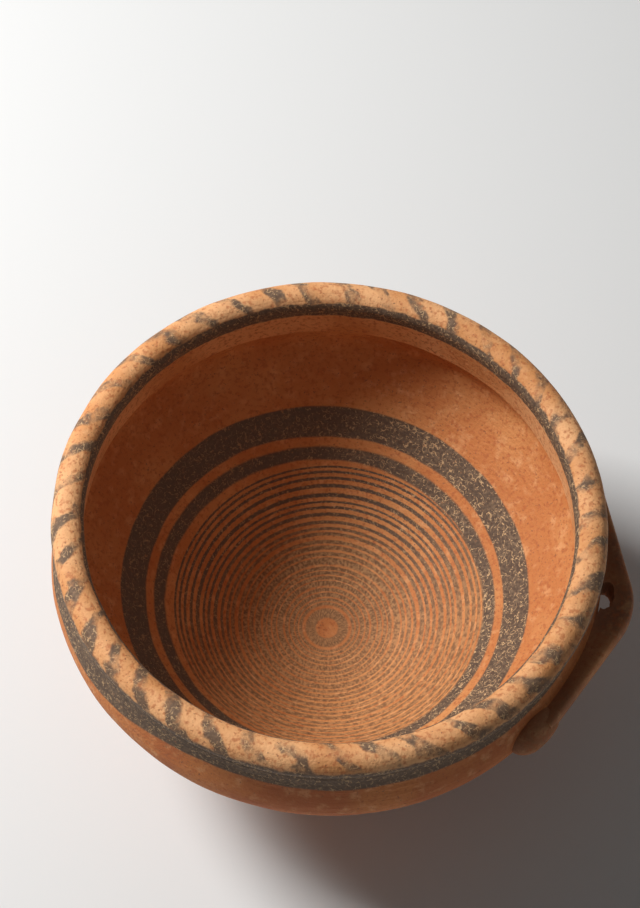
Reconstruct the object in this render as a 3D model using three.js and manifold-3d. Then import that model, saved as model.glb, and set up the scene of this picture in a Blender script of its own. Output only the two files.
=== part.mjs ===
// One-handled bowl: a thrown clay bowl with a rolled rim, a low foot and one pierced handle.
// Millimetres, +Z up. The origin is on the bowl's axis, at the flat underside of the foot.
// The handle points along +X.

import * as THREE from 'three';
import { mergeVertices } from 'three/addons/utils/BufferGeometryUtils.js';
import Module from 'manifold-3d';

const wasm = await Module();
wasm.setup();

// Rim: a thick round roll, with a neck that reaches down inside the wall.
const overallHeight = 121.6;
const rimRadius = 109.4;
const rollRadius = 6.4;
const neckHeight = 19.7;
const neckFlare = 2.5;
const neckThickness = 2.7;
const grooveDepth = 4.4;
const rollStartDegrees = -58;

// Wall: a full belly under the shoulder, a rounded turn, then a straight side and a shallow floor.
// Depths are measured down from the top of the rim.
const bellyRadius = 111.8;
const bellyDepth = 38.1;
const wallThickness = 7.4;
const shoulderDepth = 15.4;
const shoulderRadius = 106.2;
const shoulderRound = 1.6;
const shoulderBend = 0.4;
const turnRadius = 85.2;
const turnDepth = 64.6;
const turnSlopeDegrees = 45;
const turnRoundness = 7;
const sideReach = 34;
const floorReach = 38;
const floorHeight = 10.2;

// Foot: a low disc under the floor.
const footRadius = 36;
const footWaist = 2;
const footEdge = 1.2;

// Handle: a broad strap against the belly, drawn out to a blunt point and pierced by one hole.
const handleDepth = 36.1;
const pointReach = 15;
const pointRound = 0.16;
const legReach = 5.4;
const legSpanDegrees = 30;
const strapWidth = 13;
const strapHeight = 15;
const strapDish = 3;
const strapRidge = 0.75;
const strapHollow = 0.5;
const strapUnderside = 0.33;
const holeLength = 12;
const holeWidth = 6.6;
const holeReach = 1.4;
const holeOffset = 4;
const holeFlare = 1.5;
const holeOvershoot = 2;

// Roots: lobes of clay pressed over the two ends of the strap.
const rootAngleDegrees = 31;
const rootReach = 6.6;
const rootLength = 26;
const rootHeight = 16.5;

// Space left between pieces that touch.
const clearance = 0.3;

// Number of facets in the round forms.
const turns = 56;
const rollSteps = 12;
const curveSteps = 6;
const floorSteps = 8;
const strapSteps = 24;
const strapCurveSteps = 4;
const holeSides = 20;
const rootSides = 24;
const rootRings = 14;

const paintedClay = { color: 0xc4713f, roughness: 0.82 };
const paintedRimClay = { color: 0xd99a62, roughness: 0.8 };
const bareClay = { color: 0xb86438, roughness: 0.85 };
const darkClay = { color: 0x9c5230, roughness: 0.85 };

const { degToRad } = THREE.MathUtils;
const bellyHeight = overallHeight - bellyDepth;
const wallTopHeight = overallHeight - shoulderDepth;
const turnHeight = overallHeight - turnDepth;
const handleHeight = overallHeight - handleDepth;
const rollHeight = overallHeight - rollRadius;
const rollCentreRadius = rimRadius - rollRadius;
const neckRadius = rollCentreRadius - rollRadius + neckFlare;
const neckOuterRadius = neckRadius + neckThickness;

const point = (radius, height) => new THREE.Vector2(radius, height);

function bezier(start, startHandle, endHandle, end, steps) {
  return new THREE.CubicBezierCurve(start, startHandle, endHandle, end).getPoints(steps);
}

// Moves each point of a profile sideways, to the right of its direction of travel.
function offsetProfile(points, distance) {
  return points.map((here, index) => {
    const before = points[Math.max(index - 1, 0)];
    const after = points[Math.min(index + 1, points.length - 1)];
    const along = after.clone().sub(before).normalize();
    return point(here.x + along.y * distance, here.y - along.x * distance);
  });
}

// Height of a profile at a radius, between its two nearest points.
function heightAt(points, radius) {
  const next = points.findIndex((candidate) => candidate.x >= radius);
  const low = points[next - 1];
  const high = points[next];
  return THREE.MathUtils.mapLinear(radius, low.x, high.x, low.y, high.y);
}

// The inside of the bowl, from the belly down to the middle of the floor.
function innerProfile() {
  const slope = degToRad(turnSlopeDegrees);
  const downhill = point(-Math.sin(slope), -Math.cos(slope));
  const belly = point(bellyRadius - wallThickness, bellyHeight);
  const turn = point(turnRadius, turnHeight);
  const upper = bezier(
    belly,
    point(belly.x, belly.y - turnRoundness),
    turn.clone().addScaledVector(downhill, -turnRoundness),
    turn,
    curveSteps,
  );
  const lower = bezier(
    turn,
    turn.clone().addScaledVector(downhill, sideReach),
    point(floorReach, floorHeight),
    point(0, floorHeight),
    floorSteps,
  );
  return [...upper, ...lower.slice(1)];
}

// The outside of the bowl, from the middle of its underside up to the shoulder.
function outerProfile(extra = 0) {
  const lower = offsetProfile(innerProfile(), -wallThickness - extra).reverse();
  lower[0].x = 0;
  const belly = point(bellyRadius + extra, bellyHeight);
  const shoulder = point(shoulderRadius + extra, wallTopHeight - shoulderRound);
  const rise = (shoulder.y - belly.y) * shoulderBend;
  const upper = bezier(
    belly,
    point(belly.x, belly.y + rise),
    point(shoulder.x, shoulder.y - rise),
    shoulder,
    curveSteps,
  );
  return [...lower.slice(0, -1), ...upper];
}

// Turns a profile of radius and height about the bowl's axis.
function thrown(points) {
  return new THREE.LatheGeometry(points, turns).rotateX(Math.PI / 2);
}

function bowlBody() {
  const lapRadius = neckOuterRadius + clearance;
  return thrown([
    ...outerProfile(),
    point(shoulderRadius - shoulderRound / 2, wallTopHeight),
    point(lapRadius, wallTopHeight),
    point(lapRadius, rollHeight - neckHeight),
    ...innerProfile(),
  ]);
}

function rimCollar() {
  const seat = wallTopHeight + clearance;
  const grooveRadius = rimRadius - grooveDepth;
  const rollStart = degToRad(rollStartDegrees);
  const roll = new THREE.EllipseCurve(
    rollCentreRadius, rollHeight, rollRadius, rollRadius, rollStart, Math.PI,
  );
  return thrown([
    point(neckOuterRadius, seat),
    point(grooveRadius, seat),
    ...roll.getPoints(rollSteps),
    point(neckRadius, rollHeight - neckHeight),
    point(neckOuterRadius, rollHeight - neckHeight),
    point(neckOuterRadius, seat),
  ]);
}

function foot() {
  const underside = outerProfile(clearance);
  const topRadius = footRadius - footWaist;
  const seat = underside.filter((candidate) => candidate.x < topRadius);
  return thrown([
    point(0, 0),
    point(footRadius - footEdge, 0),
    point(footRadius, footEdge),
    point(topRadius, heightAt(underside, topRadius)),
    ...seat.reverse(),
  ]);
}

function toSolid(geometry) {
  geometry.deleteAttribute('normal');
  geometry.deleteAttribute('uv');
  const merged = mergeVertices(geometry);
  return new wasm.Manifold(new wasm.Mesh({
    numProp: 3,
    vertProperties: new Float32Array(merged.attributes.position.array),
    triVerts: new Uint32Array(merged.index.array),
  }));
}

function toGeometry(solid) {
  const mesh = solid.getMesh();
  const geometry = new THREE.BufferGeometry();
  geometry.setAttribute('position', new THREE.BufferAttribute(mesh.vertProperties, 3));
  geometry.setIndex(new THREE.BufferAttribute(mesh.triVerts, 1));
  geometry.computeVertexNormals();
  return geometry;
}

// The bowl's outer shape as a full block, a little larger than the wall itself.
function wallBlock() {
  const outside = outerProfile(clearance);
  return toSolid(thrown([...outside, point(0, outside.at(-1).y)]));
}

// Middle of the strap seen from above: two straight legs that meet in a rounded point.
function strapPath() {
  const height = handleHeight;
  const middle = bellyRadius - strapWidth / 2;
  const legAngle = degToRad(legSpanDegrees);
  const tip = new THREE.Vector3(middle + pointReach, 0, height);
  const end = (side) => new THREE.Vector3(
    (middle + legReach) * Math.cos(legAngle), side * (middle + legReach) * Math.sin(legAngle), height,
  );
  const bend = (side) => tip.clone().lerp(end(side), pointRound);
  const path = new THREE.CurvePath();
  path.add(new THREE.LineCurve3(end(-1), bend(-1)));
  path.add(new THREE.QuadraticBezierCurve3(bend(-1), tip, bend(1)));
  path.add(new THREE.LineCurve3(bend(1), end(1)));
  return path;
}

// Section of the strap: x runs down and y runs in towards the bowl.
function strapSection() {
  const half = strapHeight / 2;
  const outer = -strapWidth / 2;
  const inner = strapWidth / 2;
  const section = new THREE.Shape();
  section.moveTo(strapDish - half, inner);
  section.quadraticCurveTo(strapDish - half, outer * strapHollow, -half, outer * strapRidge);
  section.quadraticCurveTo(-half, outer, 0, outer);
  section.quadraticCurveTo(half, outer, half, outer * strapUnderside);
  section.lineTo(half, inner);
  return section;
}

function strapBlock() {
  return toSolid(new THREE.ExtrudeGeometry(strapSection(), {
    extrudePath: strapPath(),
    steps: strapSteps,
    curveSegments: strapCurveSteps,
    bevelEnabled: false,
  }));
}

function holeBlock() {
  const length = strapHeight + 2 * holeOvershoot;
  const block = new THREE.CylinderGeometry(holeFlare, 1, length, holeSides);
  block.rotateX(Math.PI / 2);
  block.scale(holeWidth / 2, holeLength / 2, 1);
  block.translate(bellyRadius + holeReach, holeOffset, handleHeight);
  return toSolid(block);
}

function rootBlock(side, extra = 0) {
  const block = new THREE.SphereGeometry(1, rootSides, rootRings);
  block.scale(rootReach + extra, rootLength / 2 + extra, rootHeight / 2 + extra);
  block.translate(bellyRadius, 0, handleHeight);
  block.rotateZ(side * degToRad(rootAngleDegrees));
  return toSolid(block);
}

function handle() {
  return toGeometry(
    strapBlock()
      .subtract(wallBlock())
      .subtract(holeBlock())
      .subtract(rootBlock(1, clearance))
      .subtract(rootBlock(-1, clearance)),
  );
}

function handleRoot(side) {
  return toGeometry(rootBlock(side).subtract(wallBlock()));
}

function piece(name, geometry, finish) {
  const material = new THREE.MeshStandardMaterial({ ...finish, metalness: 0 });
  const mesh = new THREE.Mesh(geometry, material);
  mesh.name = name;
  return mesh;
}

const bowl = new THREE.Group();
bowl.add(
  piece('bowl_body', bowlBody(), paintedClay),
  piece('rim_collar', rimCollar(), paintedRimClay),
  piece('foot', foot(), bareClay),
  piece('handle', handle(), darkClay),
  piece('handle_root_left', handleRoot(1), darkClay),
  piece('handle_root_right', handleRoot(-1), darkClay),
);

export default bowl;
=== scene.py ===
# %% [markdown]
# # A painted clay bowl
# This lesson dresses a one-handled bowl that was thrown on a wheel, painted with thinned clay (slip)
# and fired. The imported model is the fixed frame: it says how large everything is and where it stands.
# Each of its pieces is made again here with many more faces, and then gets its clay and its paint.
# Sizes are in millimetres and are multiplied by MM where Blender needs metres.

import math

import bpy
from mathutils import Matrix, Vector
from mathutils.geometry import interpolate_bezier


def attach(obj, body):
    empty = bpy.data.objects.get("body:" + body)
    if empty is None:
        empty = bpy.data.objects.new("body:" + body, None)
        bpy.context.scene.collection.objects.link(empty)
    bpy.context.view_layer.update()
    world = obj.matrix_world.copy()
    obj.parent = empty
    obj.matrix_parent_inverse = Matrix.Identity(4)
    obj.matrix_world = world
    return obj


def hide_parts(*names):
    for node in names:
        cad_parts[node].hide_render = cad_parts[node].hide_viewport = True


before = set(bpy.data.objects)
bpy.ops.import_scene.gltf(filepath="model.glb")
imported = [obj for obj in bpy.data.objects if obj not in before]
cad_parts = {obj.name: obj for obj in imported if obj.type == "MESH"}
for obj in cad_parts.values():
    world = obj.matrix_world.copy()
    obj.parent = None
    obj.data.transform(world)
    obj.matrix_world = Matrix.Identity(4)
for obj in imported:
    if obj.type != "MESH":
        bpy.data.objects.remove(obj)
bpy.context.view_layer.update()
MM = 0.001
FULL_TURN = 2 * math.pi
print("pieces in the frame:", sorted(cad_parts))

# %% [markdown]
# The camera comes first, so that every later choice can be judged in the same view. It stands where the
# photographer stood: in front of the bowl, a little to its right, looking steeply down, held with a slight
# roll. Three turns in a row say that more clearly than a matrix of numbers would.

# %% Set the camera
CAMERA_PLACE = Vector((60.7, -368.0, 808.8)) * MM
CAMERA_AZIMUTH = math.radians(10.19)
CAMERA_ELEVATION = math.radians(60.03)
CAMERA_ROLL = math.radians(3.25)
CAMERA_LENS = 79.3

camera = bpy.data.objects.new("camera", bpy.data.cameras.new("camera"))
bpy.context.scene.collection.objects.link(camera)
camera.matrix_world = (
    Matrix.Translation(CAMERA_PLACE)
    @ Matrix.Rotation(CAMERA_AZIMUTH, 4, "Z")
    @ Matrix.Rotation(math.pi / 2 - CAMERA_ELEVATION, 4, "X")
    @ Matrix.Rotation(CAMERA_ROLL, 4, "Z")
)
camera.data.lens = CAMERA_LENS
bpy.context.scene.camera = camera
print("camera at", [round(value, 3) for value in camera.location])

# %% [markdown]
# A pot is the same all the way round, so it is drawn as half of its cut section and then spun. The
# section could be a curve, but a chain of points is what a hand would draw in edit mode: a small plane is
# merged to one point, and that point is extruded from place to place.

# %% Draw a section and spin it
SPIN_STEPS = 192
MERGE_GAP = 0.02 * MM


def draw_chain(name, places):
    """Extrudes one point through a list of places, and leaves the chain in edit mode."""
    bpy.ops.object.select_all(action="DESELECT")
    bpy.ops.mesh.primitive_plane_add(size=MM, location=places[0])
    bpy.ops.object.transform_apply(location=True)
    piece = bpy.context.object
    piece.name = piece.data.name = name
    bpy.ops.object.mode_set(mode="EDIT")
    bpy.ops.mesh.select_all(action="SELECT")
    bpy.ops.mesh.merge(type="CENTER")
    for here, there in zip(places, places[1:]):
        bpy.ops.mesh.extrude_region_move(TRANSFORM_OT_translate={"value": there - here})
    return piece


def close_mesh():
    """Merges what meets, turns all faces outwards and goes back to object mode."""
    bpy.ops.mesh.select_all(action="SELECT")
    bpy.ops.mesh.remove_doubles(threshold=MERGE_GAP)
    bpy.ops.mesh.normals_make_consistent(inside=False)
    bpy.ops.object.mode_set(mode="OBJECT")


def throw(name, section):
    """Spins a section of (radius, height) points, in millimetres, about the bowl's axis."""
    places = [Vector((radius, 0, height)) * MM for radius, height in section]
    piece = draw_chain(name, places)
    bpy.ops.mesh.select_all(action="SELECT")
    bpy.ops.mesh.spin(steps=SPIN_STEPS, angle=FULL_TURN, center=(0, 0, 0), axis=(0, 0, 1))
    close_mesh()
    return piece


def bend(start, start_pull, end_pull, end, count):
    """Points on a curve between two points of a section."""
    curve = interpolate_bezier(*(Vector((*p, 0)) for p in (start, start_pull, end_pull, end)), count)
    return [(place.x, place.y) for place in curve]


print("a spun piece has", SPIN_STEPS, "steps round the axis")

# %% [markdown]
# The wall follows the frame's own curve: a full belly, a rounded turn, a straight side and a shallow
# floor. The outside is the same curve moved out by the thickness of the clay, as a potter's ribs leave it.

# %% Section of the wall
BELLY_RADIUS = 111.8
BELLY_HEIGHT = 83.5
WALL = 7.4
SHOULDER_RADIUS = 106.2
SHOULDER_HEIGHT = 104.6
SHOULDER_PULL = 8.4
TURN_RADIUS = 85.2
TURN_HEIGHT = 57.0
TURN_PULL = 7.0
SIDE_PULL = 34.0
FLOOR_PULL = 38.0
FLOOR_HEIGHT = 10.2
CURVE_POINTS = 22

downhill = math.sqrt(0.5)
belly_inside = BELLY_RADIUS - WALL
upper_inside = bend(
    (belly_inside, BELLY_HEIGHT),
    (belly_inside, BELLY_HEIGHT - TURN_PULL),
    (TURN_RADIUS + TURN_PULL * downhill, TURN_HEIGHT + TURN_PULL * downhill),
    (TURN_RADIUS, TURN_HEIGHT),
    CURVE_POINTS,
)
lower_inside = bend(
    (TURN_RADIUS, TURN_HEIGHT),
    (TURN_RADIUS - SIDE_PULL * downhill, TURN_HEIGHT - SIDE_PULL * downhill),
    (FLOOR_PULL, FLOOR_HEIGHT),
    (0, FLOOR_HEIGHT),
    CURVE_POINTS,
)
inside = upper_inside + lower_inside[1:]


def moved_out(points, distance):
    """The same curve, moved sideways by a distance, with its last point kept on the axis."""
    moved = []
    for index, (radius, height) in enumerate(points):
        before, after = points[max(index - 1, 0)], points[min(index + 1, len(points) - 1)]
        along = Vector((after[0] - before[0], after[1] - before[1])).normalized()
        moved.append((max(radius - along.y * distance, 0), height + along.x * distance))
    moved[-1] = (0, moved[-1][1])
    return moved


shoulder = bend(
    (BELLY_RADIUS, BELLY_HEIGHT),
    (BELLY_RADIUS, BELLY_HEIGHT + SHOULDER_PULL),
    (SHOULDER_RADIUS, SHOULDER_HEIGHT - SHOULDER_PULL),
    (SHOULDER_RADIUS, SHOULDER_HEIGHT),
    CURVE_POINTS,
)
outside = moved_out(inside, WALL)[::-1][:-1] + shoulder
print("the wall's section has", len(inside) + len(outside), "points")

# %% [markdown]
# No thrown pot is quite round or quite smooth. A Displace modifier with a soft cloud texture pushes the
# clay in and out by a few tenths of a millimetre. It is applied, so that the mesh holds its own shape.

# %% Throw the wall
SHOULDER_TOP = 106.2
SHOULDER_ROUND = 0.8
NECK_FOOT = 95.5
NECK_OUTER = 101.8
SEAM = 0.3
LAP = NECK_OUTER + SEAM
UNEVENNESS = 0.9
WALL_WAVES = 34


def unsettle(piece, amount, size):
    """Pushes a piece's surface in and out a little, as hands leave it."""
    clouds = bpy.data.textures.new(piece.name + "_hand", "CLOUDS")
    clouds.noise_scale = size * MM
    push = piece.modifiers.new("hand", "DISPLACE")
    push.texture = clouds
    push.texture_coords = "LOCAL"
    push.strength = amount * MM
    bpy.ops.object.modifier_apply(modifier=push.name)


bowl_wall = throw("thrown_wall", [
    *outside,
    (SHOULDER_RADIUS - SHOULDER_ROUND, SHOULDER_TOP),
    (LAP, SHOULDER_TOP),
    (LAP, NECK_FOOT),
    *inside,
])
unsettle(bowl_wall, UNEVENNESS, WALL_WAVES)
print(bowl_wall.name, len(bowl_wall.data.polygons), "faces")

# %% [markdown]
# The rim is a fat roll of clay on a short neck that reaches down inside the wall. A groove is left where
# the roll meets the shoulder. The roll is part of a circle, so its points are worked out from an angle.

# %% Throw the rim
RIM_TOP = 121.6
RIM_RADIUS = 109.4
ROLL_RADIUS = 6.4
ROLL_HEIGHT = RIM_TOP - ROLL_RADIUS
ROLL_CENTRE = RIM_RADIUS - ROLL_RADIUS
ROLL_START = math.radians(-58)
ROLL_END = math.pi
ROLL_POINTS = 40
GROOVE_DEPTH = 4.4
NECK_RADIUS = 99.1
NECK_POINTS = 8
RIM_WAVES = 26

roll = []
for count in range(ROLL_POINTS + 1):
    angle = ROLL_START + (ROLL_END - ROLL_START) * count / ROLL_POINTS
    roll.append((ROLL_CENTRE + ROLL_RADIUS * math.cos(angle), ROLL_HEIGHT + ROLL_RADIUS * math.sin(angle)))
neck = []
for count in range(1, NECK_POINTS + 1):
    down = count / NECK_POINTS
    radius = NECK_RADIUS - (NECK_RADIUS - roll[-1][0]) * (1 - down)
    neck.append((radius, roll[-1][1] + (NECK_FOOT - roll[-1][1]) * down))
seat = SHOULDER_TOP + SEAM
rim = throw("rolled_rim", [
    (NECK_OUTER, seat),
    (RIM_RADIUS - GROOVE_DEPTH, seat),
    *roll,
    *neck,
    (NECK_OUTER, NECK_FOOT),
    (NECK_OUTER, seat),
])
unsettle(rim, UNEVENNESS, RIM_WAVES)
print(rim.name, len(rim.data.polygons), "faces")

# %% [markdown]
# The foot is a low disc that was luted under the floor while both were damp. Its top follows the
# underside of the bowl, one seam away, and its lower edge is rubbed round.

# %% Throw the foot
FOOT_RADIUS = 36.0
FOOT_WAIST = 34.0
FOOT_EDGE = 1.2
FOOT_ROUND = FOOT_EDGE * 0.3
WAIST_OUT = 0.6
WAIST_DROP = 1.5

underside = [point for point in moved_out(inside, WALL + SEAM) if point[0] < FOOT_WAIST]
foot_top = underside[0][1]
foot_ring = throw("foot_disc", [
    (0, 0),
    (FOOT_RADIUS - FOOT_EDGE, 0),
    (FOOT_RADIUS - FOOT_ROUND, FOOT_ROUND),
    (FOOT_RADIUS, FOOT_EDGE),
    (FOOT_WAIST + WAIST_OUT, foot_top - WAIST_DROP),
    (FOOT_WAIST, foot_top),
    *underside,
])
print(foot_ring.name, len(foot_ring.data.polygons), "faces")

# %% [markdown]
# The handle is a broad strap of clay laid flat against the belly, and bent to a blunt point in the middle.
# Its section is drawn once, at the near end: the top is dished beside the wall and rises to a ridge, and
# the outer face rolls over from the ridge and runs back under to the wall.

# %% Section of the strap
HANDLE_HEIGHT = 85.5
STRAP_WIDTH = 13.0
STRAP_HEIGHT = 15.0
POINT_REACH = 15.0
LEG_REACH = 5.4
LEG_SPAN = math.radians(30)
DISH_DEPTH = 3.4
DISH_PULL = 3.2
RIDGE_OUT = 4.4
RIDGE_PULLS = (1.5, 6.2)
FACE_HEIGHT = 1.0
FACE_PULLS = (4.6, -6.5)
UNDERSIDE_PULL = 4.0
TOP_POINTS = 9
UNDERSIDE_POINTS = 14

middle = BELLY_RADIUS - STRAP_WIDTH / 2
end_radius = middle + LEG_REACH
tip = Vector((middle + POINT_REACH, 0, HANDLE_HEIGHT)) * MM
near_end = Vector((end_radius * math.cos(LEG_SPAN), -end_radius * math.sin(LEG_SPAN), HANDLE_HEIGHT)) * MM
leg = (tip - near_end).normalized()
out = Vector((leg.y, -leg.x, 0))

half_width = STRAP_WIDTH / 2
half_height = STRAP_HEIGHT / 2
top = bend(
    (-half_width, half_height - DISH_DEPTH),
    (0, half_height - DISH_PULL),
    (RIDGE_PULLS[0], half_height),
    (RIDGE_OUT, half_height),
    TOP_POINTS,
)
crown = bend(
    (RIDGE_OUT, half_height),
    (RIDGE_PULLS[1], half_height),
    (half_width, FACE_PULLS[0]),
    (half_width, FACE_HEIGHT),
    TOP_POINTS,
)
under = bend(
    (half_width, FACE_HEIGHT),
    (half_width, FACE_PULLS[1]),
    (UNDERSIDE_PULL, -half_height),
    (-half_width, -half_height),
    UNDERSIDE_POINTS,
)
outline = top + crown[1:] + under[1:]
section = [near_end + out * across * MM + Vector((0, 0, up * MM)) for across, up in outline]
print("the strap's section has", len(section), "points")

# %% [markdown]
# An extrude makes the first leg, a spin about a point inside the bend makes the corner, and another
# extrude makes the second leg. One straight extrude could not turn the section at the corner.

# %% Bend the strap
CORNER_LENGTH = 8.6
CORNER_STEPS = 14
LEG_STEPS = 12


def extrude_leg(direction, length):
    """Draws the selected end of the strap out along a leg, in even steps."""
    for _ in range(LEG_STEPS):
        bpy.ops.mesh.extrude_region_move(TRANSFORM_OT_translate={"value": direction * length / LEG_STEPS})


half_turn = leg.xy.angle(Vector((0, 1)))
corner_start = tip - leg * CORNER_LENGTH * MM
corner_radius = CORNER_LENGTH * MM / math.tan(half_turn)
corner_centre = corner_start - out * corner_radius
leg_length = (corner_start - near_end).length

strap = draw_chain("handle_strap", section + section[:1])
bpy.ops.mesh.select_all(action="SELECT")
bpy.ops.mesh.remove_doubles(threshold=MERGE_GAP)
bpy.ops.mesh.edge_face_add()
extrude_leg(leg, leg_length)
bpy.ops.mesh.spin(steps=CORNER_STEPS, angle=-2 * half_turn, center=corner_centre, axis=(0, 0, 1))
extrude_leg(Vector((-leg.x, leg.y, 0)), leg_length)
close_mesh()
print("strap from", round(near_end.y, 4), "to", round(max(v.co.y for v in strap.data.vertices), 4))

# %% [markdown]
# The hole was pushed through the wet strap with a stick, close to the wall, so its edge is uneven. A boolean
# takes it out, with a rod whose side was roughened first.

# %% Pierce the strap
HOLE_REACH = 1.4
HOLE_OFFSET = 4.0
HOLE_WIDTH = 6.6
HOLE_LENGTH = 12.0
STICK_SIDES = 36
STICK_CUTS = 4
STICK_UNEVENNESS = 1.1
STICK_WAVES = 2.2


def cut(piece, cutter):
    """Takes one closed mesh out of another."""
    bpy.ops.object.select_all(action="DESELECT")
    bpy.context.view_layer.objects.active = piece
    piece.select_set(True)
    boolean = piece.modifiers.new("cut", "BOOLEAN")
    boolean.operation = "DIFFERENCE"
    boolean.solver = "EXACT"
    boolean.object = cutter
    bpy.ops.object.modifier_apply(modifier=boolean.name)


bpy.ops.object.select_all(action="DESELECT")
bpy.ops.mesh.primitive_cylinder_add(
    vertices=STICK_SIDES, radius=HOLE_LENGTH / 2 * MM, depth=2 * STRAP_HEIGHT * MM,
    location=Vector((BELLY_RADIUS + HOLE_REACH, HOLE_OFFSET, HANDLE_HEIGHT)) * MM,
)
stick = bpy.context.object
stick.scale.x = HOLE_WIDTH / HOLE_LENGTH
bpy.ops.object.transform_apply(location=True, scale=True)
bpy.ops.object.mode_set(mode="EDIT")
bpy.ops.mesh.subdivide(number_cuts=STICK_CUTS)
bpy.ops.object.mode_set(mode="OBJECT")
unsettle(stick, STICK_UNEVENNESS, STICK_WAVES)
cut(strap, stick)
print(strap.name, "is pierced by a hole of", HOLE_WIDTH, "by", HOLE_LENGTH, "mm")

# %% [markdown]
# Lobes of clay were pressed over both ends of the strap, with a thumb, so they are uneven egg shapes. The
# bowl's full shape is then cut away from the strap and the lobes, so that nothing of them shows inside.

# %% Press on its roots
ROOT_ANGLE = math.radians(31)
ROOT_REACH = 6.6
ROOT_LENGTH = 26.0
ROOT_HEIGHT = 16.5
ROOT_SEGMENTS = 64
ROOT_RINGS = 40
ROOT_UNEVENNESS = 1.6
ROOT_WAVES = 9


def press_root(name, side):
    """A lobe of clay over one end of the strap: 1 is the far end, -1 the near one."""
    bpy.ops.object.select_all(action="DESELECT")
    bpy.ops.mesh.primitive_uv_sphere_add(segments=ROOT_SEGMENTS, ring_count=ROOT_RINGS, radius=MM)
    root = bpy.context.object
    root.name = root.data.name = name
    root.matrix_world = (
        Matrix.Rotation(side * ROOT_ANGLE, 4, "Z")
        @ Matrix.Translation(Vector((BELLY_RADIUS, 0, HANDLE_HEIGHT)) * MM)
        @ Matrix.Diagonal((ROOT_REACH, ROOT_LENGTH / 2, ROOT_HEIGHT / 2, 1))
    )
    bpy.ops.object.transform_apply(location=True, rotation=True, scale=True)
    unsettle(root, ROOT_UNEVENNESS, ROOT_WAVES)
    return root


wall_core = throw("wall_core", [*outside, (0, SHOULDER_HEIGHT)])
root_left = press_root("strap_root_left", 1)
root_right = press_root("strap_root_right", -1)
for piece in (strap, root_left, root_right):
    cut(piece, wall_core)
    print(piece.name, len(piece.data.polygons), "faces")
for helper in (stick, wall_core):
    bpy.data.objects.remove(helper)

# %% [markdown]
# Every surface is the same fired clay, with or without slip on it. So there is one small class that
# adds nodes, and one function for each thing that happened to the clay: it was turned, it was
# painted, and it was worn. Nodes read Object coordinates, which are metres in the bowl's own frame.

# %% A helper for node materials


class Clay:
    """One material's node tree, with short words for the nodes that a pot needs."""

    def __init__(self, name, roughness):
        self.material = bpy.data.materials.new(name)
        self.material.use_nodes = True
        self.tree = self.material.node_tree
        self.shader = self.tree.nodes["Principled BSDF"]
        self.shader.inputs["Roughness"].default_value = roughness
        self.place = self.tree.nodes.new("ShaderNodeTexCoord").outputs["Object"]
        self.x, self.y, self.height = self.add("ShaderNodeSeparateXYZ", {0: self.place})
        flat = self.add("ShaderNodeCombineXYZ", {0: self.x, 1: self.y})[0]
        self.radius = self.add("ShaderNodeVectorMath", {0: flat}, operation="LENGTH")[1]
        self.heading = self.add("ShaderNodeVectorMath", {0: flat}, operation="NORMALIZE")[0]

    def add(self, kind, inputs, **settings):
        """Adds a node and returns its outputs. Inputs are sockets or plain values."""
        made = self.tree.nodes.new(kind)
        for name, value in settings.items():
            setattr(made, name, value)
        for name, value in inputs.items():
            if isinstance(value, bpy.types.NodeSocket):
                self.tree.links.new(value, made.inputs[name])
            else:
                made.inputs[name].default_value = value
        return made.outputs

    def math(self, operation, *values):
        """One sum, product or other operation on numbers."""
        return self.add("ShaderNodeMath", dict(enumerate(values)), operation=operation)[0]

    def step(self, value, start, end, low=0.0, high=1.0):
        """Goes softly from low to high while the value goes from start to end."""
        return self.add("ShaderNodeMapRange", {0: value, 1: start, 2: end, 3: low, 4: high},
                        interpolation_type="SMOOTHSTEP")[0]

    def noise(self, place, size, detail=3.0):
        """Noise from 0 to 1 with spots of about this size in millimetres."""
        inputs = {"Vector": place, "Scale": 1 / (size * MM), "Detail": detail}
        return self.add("ShaderNodeTexNoise", inputs)[0]

    def spots(self, place, size, detail, **edges):
        """Noise made into soft spots by a step."""
        return self.step(self.noise(place, size, detail), **edges)

    def sway(self, place, size, detail, reach):
        """Noise that goes to both sides of zero, with this distance between its two ends."""
        return self.math("MULTIPLY", self.math("SUBTRACT", self.noise(place, size, detail), 0.5), reach)

    def mix(self, amount, first, second):
        """Goes from the first colour to the second as the amount goes from 0 to 1."""
        return self.add("ShaderNodeMix", {0: amount, 6: first, 7: second}, data_type="RGBA")[2]

    def turned(self, along, stretch):
        """Coordinates drawn out round the bowl, as marks from the wheel are."""
        spread = {0: self.heading, 3: stretch * MM}
        round_bowl = self.add("ShaderNodeVectorMath", spread, operation="SCALE")[0]
        lifted = self.add("ShaderNodeCombineXYZ", {2: along})[0]
        return self.add("ShaderNodeVectorMath", {0: round_bowl, 1: lifted}, operation="ADD")[0]

    def band(self, along, start, end, edge):
        """1 between two places along the section, in millimetres, with a brushed edge."""
        rise = self.step(along, (start - edge) * MM, (start + edge) * MM)
        fall = self.step(along, (end - edge) * MM, (end + edge) * MM, 1.0, 0.0)
        return self.math("MULTIPLY", rise, fall)

    def larger(self, *masks):
        """The largest of several masks at each place."""
        widest = masks[0]
        for mask in masks[1:]:
            widest = self.math("MAXIMUM", widest, mask)
        return widest

    def finish(self, colour, *bumps):
        """Sends the colour and the (height, millimetres) bumps to the shader."""
        self.tree.links.new(colour, self.shader.inputs["Base Color"])
        normal = None
        for height, depth in bumps:
            inputs = {"Height": height, "Distance": depth * MM, "Strength": 1.0}
            if normal:
                inputs["Normal"] = normal
            normal = self.add("ShaderNodeBump", inputs)[0]
        self.tree.links.new(normal, self.shader.inputs["Normal"])
        return self.material


print("the Clay class is ready")

# %% [markdown]
# The body is a sandy orange clay. Noise of several sizes colours it: broad clouds from the kiln's flame,
# a paler mottle, streaks that run round the bowl where a wet hand smoothed it, freckles and grit.

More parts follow.
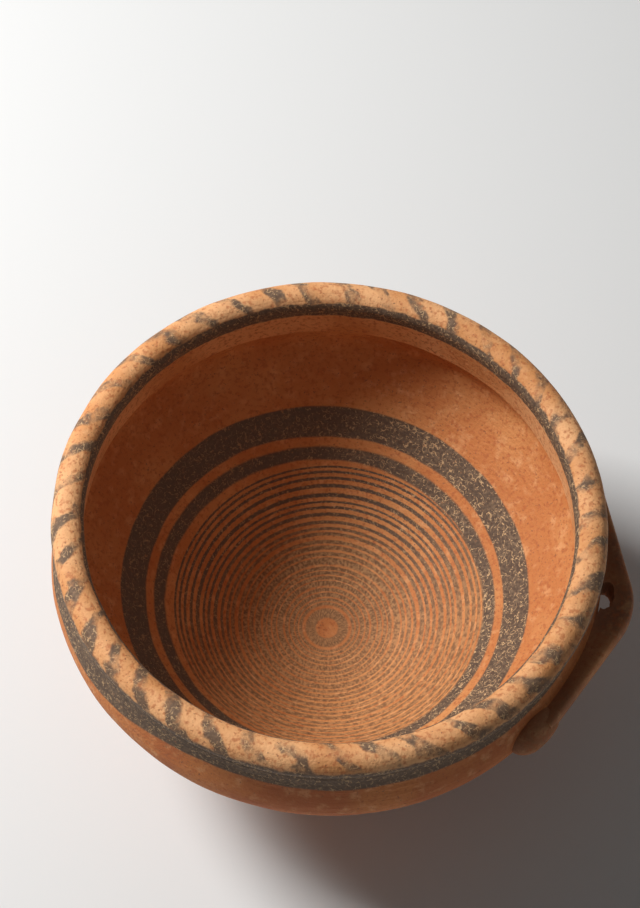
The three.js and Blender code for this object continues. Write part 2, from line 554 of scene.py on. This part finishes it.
# %% Fired clay
ORANGE = (0.53, 0.18, 0.048, 1)
AMBER = (0.62, 0.26, 0.085, 1)
PALE = (0.8, 0.41, 0.18, 1)
RED = (0.4, 0.105, 0.026, 1)
TAN = (0.38, 0.185, 0.075, 1)
GRIT = (0.13, 0.07, 0.04, 1)


def fired_clay(clay, along, ground, cloud_colour):
    """Clay with clouds, mottle, streaks, freckles and grit. Returns its colour and its streaks."""
    streaks = clay.noise(clay.turned(along, stretch=9), size=1.7, detail=4)
    clouds = clay.spots(clay.place, size=34, detail=4, start=0.4, end=0.66)
    mottle = clay.spots(clay.place, size=5, detail=4, start=0.5, end=0.75, high=0.5)
    smoothed = clay.step(streaks, start=0.5, end=0.8, high=0.2)
    freckles = clay.spots(clay.place, size=1.8, detail=4, start=0.48, end=0.68, high=0.65)
    grit = clay.spots(clay.place, size=0.9, detail=2, start=0.64, end=0.74, high=0.7)
    colour = clay.mix(clouds, ground, cloud_colour)
    for amount, layer in ((mottle, PALE), (smoothed, RED), (freckles, RED), (grit, GRIT)):
        colour = clay.mix(amount, colour, layer)
    return colour, streaks


print("clay colours are set, from", ORANGE[:3], "to", PALE[:3])

# %% [markdown]
# The slip is a thin iron-rich clay that fired to a dull grey-brown. It has worn thin in patches and
# carries short pale scratches. A scratch is where a soft noise crosses its middle value, and a second
# noise breaks the long lines up. An image of scratches would repeat, and noise does not.

# %% Slip and its wear
SLIP = (0.085, 0.048, 0.028, 1)
WORN_SLIP = (0.24, 0.155, 0.09, 1)
SCRATCH = (0.6, 0.38, 0.19, 1)


def scratches(clay, size, width):
    """Short pale lines that wander about."""
    off_middle = clay.math("ABSOLUTE", clay.math("SUBTRACT", clay.noise(clay.place, size, detail=1), 0.5))
    line = clay.step(off_middle, start=width * 0.4, end=width, low=1, high=0)
    pieces = clay.spots(clay.place, size=size * 0.8, detail=1, start=0.5, end=0.56)
    return clay.math("MULTIPLY", line, pieces)


def paint(clay, colour, mask, wear):
    """Lays slip over the clay where the mask is 1, rubbed thin and scratched as far as the wear says."""
    patches = clay.spots(clay.place, size=11, detail=5, start=0.3, end=0.75, low=0.3)
    grain = clay.noise(clay.place, size=1.3, detail=4)
    rubbed = clay.math("MULTIPLY", patches, clay.step(grain, start=0.35, end=0.7))
    slip = clay.mix(clay.math("MULTIPLY", rubbed, wear), SLIP, WORN_SLIP)
    scratched = clay.larger(scratches(clay, size=3.4, width=0.022), scratches(clay, size=2.1, width=0.03))
    slip = clay.mix(clay.math("MULTIPLY", scratched, wear), slip, SCRATCH)
    cover = clay.math("MULTIPLY", mask, clay.step(grain, start=0.62, end=0.78, low=1.0, high=0.55))
    return clay.mix(cover, colour, slip)


print("slip is", SLIP[:3], "and worn slip", WORN_SLIP[:3])

# %% [markdown]
# Inside, the painter held a loaded brush against the turning bowl, and fine rings run down the floor to a
# plain disc. The rings are a sine of the distance from a point a little off the axis, shifted
# by noise, because no hand spaces them evenly. Where the floor is worn, more of the wave counts as slip,
# so that the rings run together.

# %% Fine rings on the floor
RINGS_START = 10.8
RINGS_END = 66.4
RING_SPACING = 2.55
RINGS_OFFSET = 2.0
RINGS_WANDER = 2.4
CENTRE_RING = (4.9, 9.4)
RING_EDGE = 0.5

inner = Clay("painted_inside", roughness=0.78)
along_wall = inner.math("ADD", inner.radius, inner.math("MULTIPLY", inner.height, 0.5))
bare_inside, inside_streaks = fired_clay(inner, along_wall, ORANGE, AMBER)

from_centre = inner.math("SUBTRACT", inner.x, RINGS_OFFSET * MM)
off_axis = inner.add("ShaderNodeCombineXYZ", {0: from_centre, 1: inner.y})[0]
ring_radius = inner.add("ShaderNodeVectorMath", {0: off_axis}, operation="LENGTH")[1]
counted = inner.math("DIVIDE", ring_radius, RING_SPACING * MM)
wander = inner.noise(inner.turned(ring_radius, stretch=0.6), size=8, detail=1)
counted = inner.math("ADD", counted, inner.math("MULTIPLY", wander, RINGS_WANDER))
fringe = inner.sway(inner.place, size=1.4, detail=4, reach=1.5)
wave = inner.math("ADD", inner.math("SINE", inner.math("MULTIPLY", counted, FULL_TURN)), fringe)

near_side = inner.math("SUBTRACT", inner.math("MULTIPLY", inner.x, 0.6), inner.y)
rubbed = inner.step(near_side, start=-50 * MM, end=50 * MM)
middle_filled = inner.step(inner.radius, start=50 * MM, end=30 * MM, high=0.85)
filled = inner.larger(middle_filled, inner.math("MULTIPLY", rubbed, 0.7))
ring = inner.step(inner.math("ADD", wave, filled), start=-0.15, end=0.6)
ring = inner.math("MULTIPLY", ring, inner.band(ring_radius, RINGS_START, RINGS_END, RING_EDGE))
ring = inner.larger(ring, inner.band(ring_radius, *CENTRE_RING, RING_EDGE))
print("floor painted with", int((RINGS_END - RINGS_START) / RING_SPACING), "rings")

# %% [markdown]
# Use has worn the middle and the near side of the floor. There the slip is a dusty brown and tan, with
# orange clay showing through, and farther up it is still fresh.

# %% Wear the floor
FLOOR_BROWN = (0.21, 0.1, 0.038, 1)
FLOOR_TAN = (0.46, 0.25, 0.105, 1)

flakes = inner.noise(inner.turned(along_wall, stretch=40), size=1.5, detail=5)
dust = inner.mix(inner.step(flakes, start=0.38, end=0.66), FLOOR_BROWN, FLOOR_TAN)
specks = inner.spots(inner.place, size=1.6, detail=4, start=0.56, end=0.7, high=0.6)
dust = inner.mix(specks, dust, SLIP)
bared = inner.math("MULTIPLY", rubbed, inner.step(flakes, start=0.4, end=0.7, low=0.1, high=0.5))
worn_ring = inner.mix(bared, dust, ORANGE)
worn = inner.larger(inner.step(inner.radius, start=52 * MM, end=34 * MM), rubbed)
fresh_floor = paint(inner, bare_inside, ring, wear=0.55)
worn_floor = inner.mix(ring, bare_inside, worn_ring)
floor_colour = inner.mix(worn, fresh_floor, worn_floor)
print("floor worn from", FLOOR_BROWN[:3], "to", FLOOR_TAN[:3])

# %% [markdown]
# One wide band and one narrower band go round below the belly. Noise that is drawn out round the bowl
# moves their edges, as a brush does on a turning wheel. They are more worn on the side with the handle.

# %% Two bands round the wall
WIDE_BAND = (75.6, 85.2)
SECOND_BAND = (67.6, 72.3)

waver = inner.sway(inner.turned(inner.radius, stretch=30), size=9, detail=2, reach=1.6 * MM)
brushed = inner.math("ADD", inner.radius, waver)
bands = inner.larger(inner.band(brushed, *WIDE_BAND, edge=0.35), inner.band(brushed, *SECOND_BAND, edge=0.5))
band_wear = inner.step(inner.x, start=-50 * MM, end=85 * MM, low=0.4, high=1.0)
inside_colour = paint(inner, floor_colour, bands, band_wear)
inside_sand = inner.noise(inner.place, size=1.2, detail=4)
inside_material = inner.finish(inside_colour, (inside_streaks, 0.3), (inside_sand, 0.3))
print("bands at", WIDE_BAND, "and", SECOND_BAND, "mm from the axis")

# %% [markdown]
# Outside, a dark band fills the groove under the rim and covers the top of the shoulder, and the rest is
# bare and redder. The band reaches lower on the side away from the handle.

# %% Paint the outside
SHOULDER_BAND = 97.5
SHOULDER_SAG = 8.0
SHOULDER_EDGE = 0.5

outer = Clay("painted_outside", roughness=0.8)
bare_outside, outside_streaks = fired_clay(outer, outer.height, ORANGE, RED)
uneven = outer.sway(outer.place, size=14, detail=3, reach=1.4 * MM)
sag = outer.step(outer.x, start=-20 * MM, end=-85 * MM, high=SHOULDER_SAG * MM)
hanging = outer.math("ADD", outer.math("ADD", outer.height, uneven), sag)
above_edge = outer.step(
    hanging, start=(SHOULDER_BAND - SHOULDER_EDGE) * MM, end=(SHOULDER_BAND + SHOULDER_EDGE) * MM,
)
outside_colour = paint(outer, bare_outside, above_edge, wear=0.6)
outside_sand = outer.noise(outer.place, size=1.0, detail=3)
outside_material = outer.finish(outside_colour, (outside_streaks, 0.5), (outside_sand, 0.25))
print("the shoulder's band ends", SHOULDER_BAND, "mm up")

# %% [markdown]
# On the rolled rim short strokes were flicked on, leaning all the same way. A stroke is where the angle
# round the bowl, plus a little of the angle over the roll, passes a whole number of spacings. Noise
# bends the strokes, frays them and starves some of them of slip.

# %% Strokes on the rim
STROKES = 41
STROKE_LEAN = 0.045
STROKE_ZONE = (math.radians(17), math.radians(147))

rolled = Clay("painted_rim", roughness=0.76)
bare_rim, rim_streaks = fired_clay(rolled, rolled.height, PALE, AMBER)
round_bowl = rolled.math("ARCTAN2", rolled.y, rolled.x)
over_roll = rolled.math(
    "ARCTAN2",
    rolled.math("SUBTRACT", rolled.height, ROLL_HEIGHT * MM),
    rolled.math("SUBTRACT", rolled.radius, ROLL_CENTRE * MM),
)
leaning = rolled.math("ADD", round_bowl, rolled.math("MULTIPLY", over_roll, STROKE_LEAN))
jitter = rolled.math("MULTIPLY", rolled.noise(rolled.place, size=12, detail=3), 0.9)
counted = rolled.math("ADD", rolled.math("MULTIPLY", leaning, STROKES / FULL_TURN), jitter)
fringe = rolled.math("MULTIPLY", rolled.noise(rolled.place, size=3, detail=4), 0.9)
wave = rolled.math("ADD", rolled.math("SINE", rolled.math("MULTIPLY", counted, FULL_TURN)), fringe)
widening = rolled.step(over_roll, start=STROKE_ZONE[1], end=STROKE_ZONE[0], low=-0.15, high=0.3)
stroke = rolled.step(rolled.math("ADD", wave, widening), start=0.45, end=1.15)
starved = rolled.spots(rolled.place, size=8, detail=5, start=0.36, end=0.58, low=0.15, high=0.95)
stroke = rolled.math("MULTIPLY", stroke, starved)
print("rim painted with", STROKES, "strokes")

# %% [markdown]
# Two bands close the strokes in. One runs from the groove up to the outer edge of the roll, and one goes
# round the inside of the rim, a little below its top. Both have ragged edges.

# %% Bands on the rim
INNER_BAND = (110.7, 118.8)
LOWER_EDGE = 0.12

outer_side = rolled.step(rolled.radius, start=(ROLL_CENTRE - 1) * MM, end=(ROLL_CENTRE + 1) * MM)
ragged = rolled.sway(rolled.place, size=4, detail=4, reach=0.5)
lower_side = rolled.step(
    rolled.math("ADD", over_roll, ragged),
    start=STROKE_ZONE[0] - LOWER_EDGE, end=STROKE_ZONE[0] + LOWER_EDGE, low=1, high=0,
)
lower_band = rolled.math("MULTIPLY", outer_side, lower_side)
uneven = rolled.sway(rolled.place, size=6, detail=4, reach=2.2 * MM)
inner_band = rolled.math(
    "MULTIPLY",
    rolled.math("SUBTRACT", 1.0, outer_side),
    rolled.band(rolled.math("ADD", rolled.height, uneven), *INNER_BAND, edge=0.4),
)
above = rolled.step(rolled.height, start=INNER_BAND[0] * MM, end=(INNER_BAND[1] - 1) * MM)
stroke = rolled.math("MULTIPLY", stroke, above)
rim_colour = paint(rolled, bare_rim, rolled.larger(stroke, lower_band, inner_band), wear=0.8)
rim_sand = rolled.noise(rolled.place, size=1.0, detail=3)
rim_material = rolled.finish(rim_colour, (rim_streaks, 0.3), (rim_sand, 0.25))
print("the rim's inner band goes from", INNER_BAND[0], "to", INNER_BAND[1], "mm up")

# %% [markdown]
# The handle was browned in the kiln. Shade is painted into its colour: its top is darker where it is dished,
# beside the wall, on its near half, where the rim's shadow falls. The foot is bare clay, rough where it was
# cut from the wheel.

# %% Colour the handle and the foot
BROWN = (0.5, 0.205, 0.075, 1)
DARK_BROWN = (0.17, 0.062, 0.025, 1)

browned = Clay("browned_clay", roughness=0.82)
brown_clay = fired_clay(browned, browned.height, BROWN, DARK_BROWN)[0]
# Painted shade: the dished top beside the wall, on the near half, is mixed towards DARK_BROWN.
beside_wall = browned.step(browned.radius, start=121 * MM, end=112 * MM)
near_half = browned.step(browned.y, start=40 * MM, end=10 * MM)
painted_shade = browned.math("MULTIPLY", browned.math("MULTIPLY", beside_wall, near_half), 0.6)
handle_colour = browned.mix(painted_shade, brown_clay, DARK_BROWN)
thumb_marks = browned.noise(browned.place, size=6, detail=3)
handle_sand = browned.noise(browned.place, size=1.0, detail=3)
handle_material = browned.finish(handle_colour, (thumb_marks, 0.5), (handle_sand, 0.3))

bare = Clay("bare_clay", roughness=0.86)
foot_colour, foot_streaks = fired_clay(bare, bare.height, ORANGE, TAN)
foot_sand = bare.noise(bare.place, size=0.9, detail=3)
foot_material = bare.finish(foot_colour, (foot_streaks, 0.4), (foot_sand, 0.3))
print("materials:", [item.name for item in (handle_material, foot_material)])

# %% [markdown]
# Each new piece now takes the place of its node in the frame and rides on the body. The wall gets two
# materials: a face belongs to the inside if it looks towards the axis, or up from the floor.

# %% Put the pieces in place
SMOOTH_ANGLE = math.radians(50)
LOOKS_UP = 0.7


def place_piece(piece, node, slot, *materials):
    """Gives a finished piece its materials, and its node's place in the frame."""
    bpy.ops.object.select_all(action="DESELECT")
    piece.select_set(True)
    bpy.context.view_layer.objects.active = piece
    bpy.ops.object.shade_smooth_by_angle(angle=SMOOTH_ANGLE)
    piece.data.materials.clear()
    for material in materials:
        piece.data.materials.append(material)
    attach(piece, "root")
    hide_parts(node)
    print(piece.name, "stands for", node)


place_piece(bowl_wall, "bowl_body", "painted_clay", outside_material, inside_material)
for face in bowl_wall.data.polygons:
    outward = Vector((face.center.x, face.center.y, 0)).normalized()
    on_floor = face.normal.z > LOOKS_UP and face.center.z < BELLY_HEIGHT * MM
    face.material_index = int(on_floor or face.normal.dot(outward) < 0)
place_piece(rim, "rim_collar", "painted_rim_clay", rim_material)
place_piece(foot_ring, "foot", "bare_clay", foot_material)
place_piece(strap, "handle", "dark_clay", handle_material)
place_piece(root_left, "handle_root_left", "dark_clay", handle_material)
place_piece(root_right, "handle_root_right", "dark_clay", handle_material)

# %% [markdown]
# The bowl stands on a plain pale floor. One soft lamp stands high on the left and a little behind, which
# leaves the left wall in the rim's shadow and the right wall bright.

# %% Floor and lamp
FLOOR_SIZE = 6.0
FLOOR_COLOUR = (0.78, 0.78, 0.77, 1)
FLOOR_ROUGHNESS = 0.9
LAMP_PLACE = Vector((-1.0, 0.2, 1.12))
LAMP_SIZE = 0.5
LAMP_POWER = 27

bpy.ops.object.select_all(action="DESELECT")
bpy.ops.mesh.primitive_plane_add(size=FLOOR_SIZE)
floor = bpy.context.object
floor.name = "floor"
floor_material = bpy.data.materials.new("pale_floor")
floor_material.use_nodes = True
floor_shader = floor_material.node_tree.nodes["Principled BSDF"]
floor_shader.inputs["Base Color"].default_value = FLOOR_COLOUR
floor_shader.inputs["Roughness"].default_value = FLOOR_ROUGHNESS
floor.data.materials.append(floor_material)

lamp = bpy.data.objects.new("soft_lamp", bpy.data.lights.new("soft_lamp", "AREA"))
bpy.context.scene.collection.objects.link(lamp)
lamp.location = LAMP_PLACE
lamp.rotation_euler = (-LAMP_PLACE).to_track_quat("-Z", "Y").to_euler()
lamp.data.size = LAMP_SIZE
lamp.data.energy = LAMP_POWER
print("lamp at", tuple(LAMP_PLACE))

# %% [markdown]
# The world does two jobs. It is a weak light that fills the shadows, and it is the pale backdrop that the
# camera sees, and that gloss and glass would show. The Light Path node tells which kind of ray asks.

# %% Backdrop and fill
FILL = 0.09
BACKDROP = 0.86
BACKDROP_COLOUR = (1, 1, 1, 1)

world = bpy.data.worlds.new("studio")
bpy.context.scene.world = world
world.use_nodes = True
nodes = world.node_tree.nodes
link = world.node_tree.links.new
rays = nodes.new("ShaderNodeLightPath").outputs
seen = rays["Is Camera Ray"]
for kind in ("Is Glossy Ray", "Is Transmission Ray"):
    either = nodes.new("ShaderNodeMath")
    either.operation = "MAXIMUM"
    link(seen, either.inputs[0])
    link(rays[kind], either.inputs[1])
    seen = either.outputs[0]
strength = nodes.new("ShaderNodeMapRange")
strength.inputs["To Min"].default_value = FILL
strength.inputs["To Max"].default_value = BACKDROP
link(seen, strength.inputs["Value"])
link(strength.outputs[0], nodes["Background"].inputs["Strength"])
nodes["Background"].inputs["Color"].default_value = BACKDROP_COLOUR
bpy.context.scene.view_settings.view_transform = "Standard"
print("backdrop", BACKDROP, "and fill", FILL)

# %% [markdown]
# The last cell ends the scene.

# %% Finish
print("the scene is ready")
